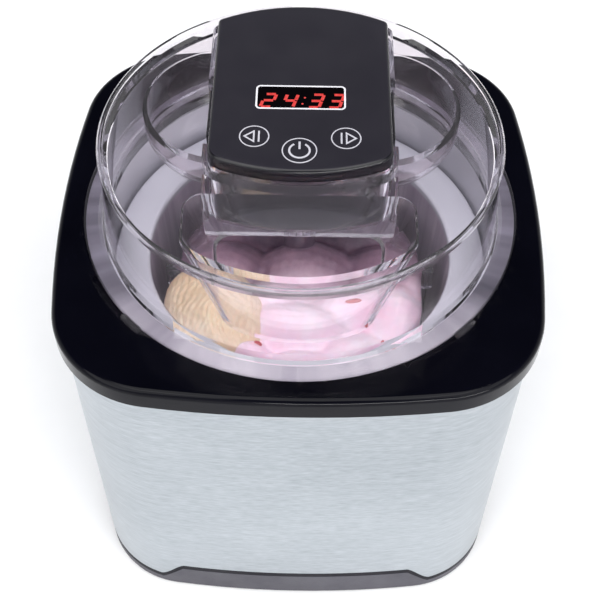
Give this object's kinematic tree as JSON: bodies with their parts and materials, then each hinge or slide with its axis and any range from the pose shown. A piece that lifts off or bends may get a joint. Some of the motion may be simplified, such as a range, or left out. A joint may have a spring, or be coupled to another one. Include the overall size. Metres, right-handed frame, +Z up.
{
  "type": "ice cream maker",
  "caption": "Countertop ice cream maker: steel-sleeved housing, lift-out freezer bowl and paddle, clear bayonet lid with filling chute and a lift-off geared motor unit with a display.",
  "frame": {"origin": "on the surface the machine stands on, below the bowl's axis", "axes": "+Z up along the bowl's axis, -Y to the front with the filling chute, +X to the right seen from the front"},
  "size_m": [0.235, 0.235, 0.2585],
  "materials": {
    "charcoal_base": "satin",
    "foot_rubber": "matt",
    "brushed_sleeve": "brushed level with the floor",
    "bezel_black": "gloss",
    "tub_grey": "satin",
    "pad_rubber": "matt",
    "screw_steel": "zinc plated",
    "bowl_shell": "satin",
    "bowl_aluminium": "satin anodised",
    "coolant_gel": "gel",
    "seal_rubber": "matt",
    "rim_silver": "satin",
    "paddle_clear": "clear",
    "clear_silicone": "clear",
    "lid_clear": "clear, faint lavender",
    "bush_white": "satin",
    "cover_charcoal": "satin",
    "window_black": "gloss",
    "case_black": "gloss",
    "gland_rubber": "matt",
    "module_grey": "matt",
    "board_green": "solder mask",
    "spring_steel": "bright",
    "capacitor_yellow": "matt",
    "motor_steel": "plated",
    "pinion_brass": "machined",
    "gear_acetal": "satin",
    "button_black": "satin"
  },
  "bodies": {
    "housing": {"base_plate": "charcoal_base", "rubber_feet": "foot_rubber", "steel_shell": "brushed_sleeve", "top_bezel": "bezel_black", "inner_tub": "tub_grey", "bowl_support_pads": "pad_rubber", "base_screws": "screw_steel", "bezel_screws": "screw_steel"},
    "freezer_bowl": {"bowl_outer_cup": "bowl_shell", "bowl_inner_cup": "bowl_aluminium", "coolant_fill": "coolant_gel", "bowl_seal_ring": "seal_rubber", "bowl_rim": "rim_silver", "coolant_fill_plug": "seal_rubber"},
    "paddle": {"mixing_paddle": "paddle_clear"},
    "lid_seal": {"lid_seal": "clear_silicone"},
    "lid": {"clear_lid": "lid_clear", "shaft_bush": "bush_white"},
    "motor_unit": {"motor_cover": "cover_charcoal", "display_window": "window_black", "motor_case": "case_black", "cord_gland": "gland_rubber", "display_module": "module_grey", "control_board": "board_green", "touch_key_springs": "spring_steel", "dropper_capacitor": "capacitor_yellow", "drive_motor": "motor_steel", "gear_plate": "motor_steel", "idler_pin": "spring_steel", "gear_plate_screws": "screw_steel", "motor_screws": "screw_steel", "case_screws": "screw_steel", "button_spring_left": "spring_steel", "button_spring_right": "spring_steel"},
    "rotor": {"rotor_pinion": "pinion_brass"},
    "idler": {"idler_gear": "gear_acetal"},
    "output": {"output_gear": "gear_acetal", "drive_shaft": "spring_steel", "shaft_clip": "spring_steel"},
    "release_left": {"release_button_left": "button_black"},
    "release_right": {"release_button_right": "button_black"}
  },
  "joints": [
    {"name": "lid_lift", "type": "slide", "parent": "housing", "child": "lid_seal", "axis": [0, 0, 1], "range_m": [0, 0.3]},
    {"name": "lid_turn", "type": "hinge", "parent": "lid_seal", "child": "lid", "pos_m": [0, 0, 0.2032], "axis": [0, 0, 1], "range_deg": [-15, 0]},
    {"name": "motor_lift", "type": "slide", "parent": "lid", "child": "motor_unit", "axis": [0, 0, 1], "range_m": [0, 0.12]},
    {"name": "bowl_lift", "type": "slide", "parent": "housing", "child": "freezer_bowl", "axis": [0, 0, 1], "range_m": [0, 0.2]},
    {"name": "paddle_spin", "type": "hinge", "parent": "freezer_bowl", "child": "paddle", "pos_m": [0, 0, 0.05], "axis": [0, 0, 1], "continuous": true},
    {"name": "output_spin", "type": "hinge", "parent": "motor_unit", "child": "output", "pos_m": [0, 0, 0.2267], "axis": [0, 0, 1], "continuous": true},
    {"name": "idler_spin", "type": "hinge", "parent": "motor_unit", "child": "idler", "pos_m": [0, 0.024, 0.2267], "axis": [0, 0, 1], "continuous": true},
    {"name": "rotor_spin", "type": "hinge", "parent": "motor_unit", "child": "rotor", "pos_m": [0, 0.043, 0.231], "axis": [0, 0, 1], "continuous": true},
    {"name": "release_left_press", "type": "slide", "parent": "motor_unit", "child": "release_left", "axis": [1, 0, 0], "range_m": [0, 0.0015], "stiffness_N_per_m": 300, "springref_m": -0.001, "deforming": ["button_spring_left"]},
    {"name": "release_right_press", "type": "slide", "parent": "motor_unit", "child": "release_right", "axis": [-1, 0, 0], "range_m": [0, 0.0015], "stiffness_N_per_m": 300, "springref_m": -0.001, "deforming": ["button_spring_right"]}
  ],
  "couplings": [
    {"joint": "bowl_lift", "follows": "lid_lift", "ratio": 0.65},
    {"joint": "output_spin", "follows": "paddle_spin", "ratio": 1},
    {"joint": "idler_spin", "follows": "paddle_spin", "ratio": -3},
    {"joint": "rotor_spin", "follows": "paddle_spin", "ratio": 11.25}
  ]
}
